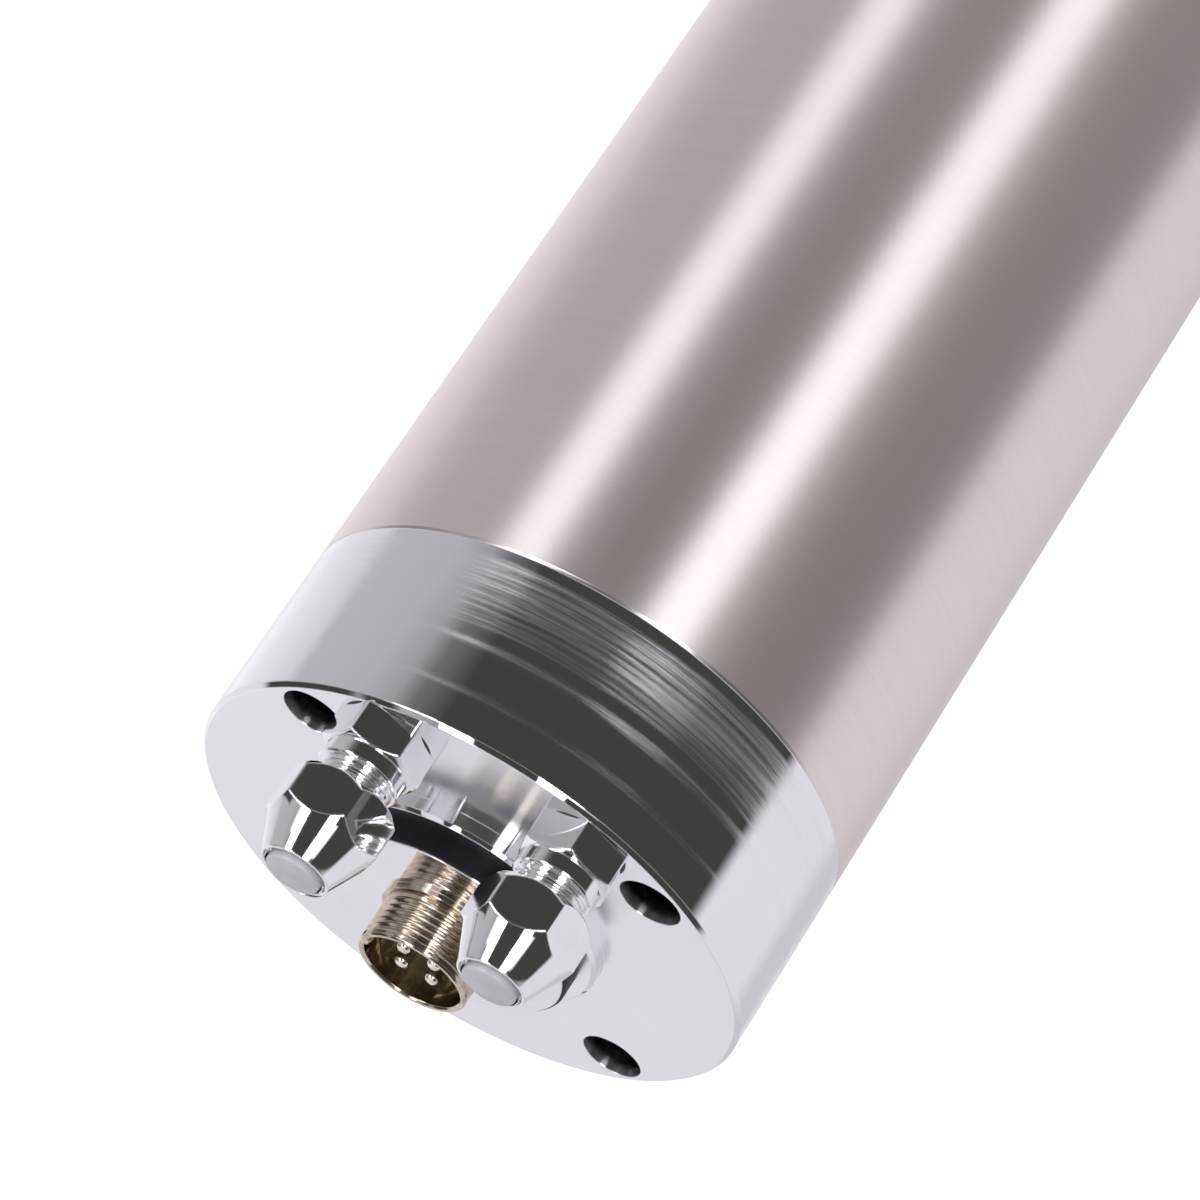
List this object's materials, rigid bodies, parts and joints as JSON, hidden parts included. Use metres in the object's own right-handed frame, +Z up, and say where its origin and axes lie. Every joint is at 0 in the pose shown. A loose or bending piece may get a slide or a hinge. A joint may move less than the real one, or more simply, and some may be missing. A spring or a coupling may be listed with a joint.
{
  "type": "motor spindle",
  "caption": "Round water-cooled motor spindle with a collet nose, two coolant fittings and a pinned power socket on its rear cover.",
  "frame": {"origin": "on the spindle axis in the plane of the body's nose end face, where the clamped 80 mm barrel begins", "axes": "+Z runs up the spindle axis from the tool end to the rear cover; -Y points to the side where the two coolant fittings stand, +X is the inlet fitting's side"},
  "size_m": [0.08, 0.08, 0.241],
  "materials": {
    "stainless": "axially brushed stainless steel",
    "cover_chrome": "polished, mirror-like",
    "fitting_chrome": "polished chrome plating",
    "jacket_aluminium": "milled",
    "housing_steel": "turned and ground",
    "bearing_steel": "ground",
    "ball_row": "polished balls in a resin cage",
    "shaft_steel": "ground",
    "collet_steel": "hardened and ground",
    "nut_steel": "dark oiled",
    "screw_black": "black oxide",
    "seal_rubber": "matt",
    "gasket_rubber": "smooth, slight sheen",
    "core_steel": "stacked sheets",
    "copper": "enamelled copper",
    "cage_aluminium": "cast",
    "spring_steel": "tempered",
    "ferrule_brass": "turned",
    "plug_plastic": "moulded, light grey",
    "connector_nickel": "nickel plated, warm",
    "plate_mirror": "mirror polished",
    "insert_plastic": "moulded, olive brown",
    "pin_silver": "silver plated",
    "wire_insulation": "silicone sleeving"
  },
  "bodies": {
    "housing": {"outer_sleeve": "stainless", "water_jacket": "jacket_aluminium", "jacket_seals": "seal_rubber", "front_bearing_housing": "housing_steel", "front_flange_screws": "screw_black", "front_cap": "housing_steel", "front_cap_screws": "screw_black", "front_outer_rings": "bearing_steel", "outer_spacer": "housing_steel", "stator_core": "core_steel", "stator_windings": "copper", "rear_bearing_housing": "housing_steel", "preload_springs": "spring_steel", "rear_outer_ring": "bearing_steel", "rear_cover": "cover_chrome", "rear_cover_screws": "screw_black", "port_washers": "seal_rubber", "inlet_fitting": "fitting_chrome", "outlet_fitting": "fitting_chrome", "connector_gasket": "gasket_rubber", "connector_plate": "plate_mirror", "connector_shell": "connector_nickel", "connector_insert": "insert_plastic", "connector_pins": "pin_silver", "panel_nut": "connector_nickel", "lead_wires": "wire_insulation"},
    "rotor": {"shaft": "shaft_steel", "rotor_core": "core_steel", "rotor_cage": "cage_aluminium", "front_inner_rings": "bearing_steel", "inner_spacer": "housing_steel", "front_lock_nut": "nut_steel", "rear_inner_ring": "bearing_steel", "rear_lock_nut": "nut_steel"},
    "front_balls": {"front_ball_rows": "ball_row"},
    "rear_balls": {"rear_ball_row": "ball_row"},
    "collet_body": {"collet": "collet_steel"},
    "collet_nut_body": {"collet_nut": "nut_steel"},
    "inlet_hose_end": {"inlet_plug": "plug_plastic", "inlet_ferrule": "ferrule_brass"},
    "inlet_nut_body": {"inlet_nut": "fitting_chrome"},
    "outlet_hose_end": {"outlet_plug": "plug_plastic", "outlet_ferrule": "ferrule_brass"},
    "outlet_nut_body": {"outlet_nut": "fitting_chrome"}
  },
  "joints": [
    {"name": "spindle_spin", "type": "hinge", "parent": "housing", "child": "rotor", "pos_m": [0, 0, 0], "axis": [0, 0, 1], "continuous": true},
    {"name": "front_balls_spin", "type": "hinge", "parent": "housing", "child": "front_balls", "pos_m": [0, 0, 0.0185], "axis": [0, 0, 1], "continuous": true},
    {"name": "rear_balls_spin", "type": "hinge", "parent": "housing", "child": "rear_balls", "pos_m": [0, 0, 0.158], "axis": [0, 0, 1], "continuous": true},
    {"name": "collet_slide", "type": "slide", "parent": "rotor", "child": "collet_body", "axis": [0, 0, -1], "range_m": [0, 0.0015]},
    {"name": "collet_nut_turn", "type": "hinge", "parent": "collet_body", "child": "collet_nut_body", "pos_m": [0, 0, -0.02425], "axis": [0, 0, -1], "range_deg": [0, 720]},
    {"name": "inlet_plug_slide", "type": "slide", "parent": "housing", "child": "inlet_hose_end", "axis": [0, 0, 1], "range_m": [0, 0.004]},
    {"name": "inlet_nut_turn", "type": "hinge", "parent": "inlet_hose_end", "child": "inlet_nut_body", "pos_m": [0.01395, -0.02991, 0.2027], "axis": [0, 0, 1], "range_deg": [0, 1440]},
    {"name": "outlet_plug_slide", "type": "slide", "parent": "housing", "child": "outlet_hose_end", "axis": [0, 0, 1], "range_m": [0, 0.004]},
    {"name": "outlet_nut_turn", "type": "hinge", "parent": "outlet_hose_end", "child": "outlet_nut_body", "pos_m": [-0.01395, -0.02991, 0.2027], "axis": [0, 0, 1], "range_deg": [0, 1440]}
  ],
  "couplings": [
    {"joint": "front_balls_spin", "follows": "spindle_spin", "ratio": 0.4141},
    {"joint": "rear_balls_spin", "follows": "spindle_spin", "ratio": 0.4021},
    {"joint": "collet_nut_turn", "follows": "collet_slide", "rad_per_m": 8377.5},
    {"joint": "inlet_nut_turn", "follows": "inlet_plug_slide", "rad_per_m": 6283.1},
    {"joint": "outlet_nut_turn", "follows": "outlet_plug_slide", "rad_per_m": 6283.1}
  ]
}
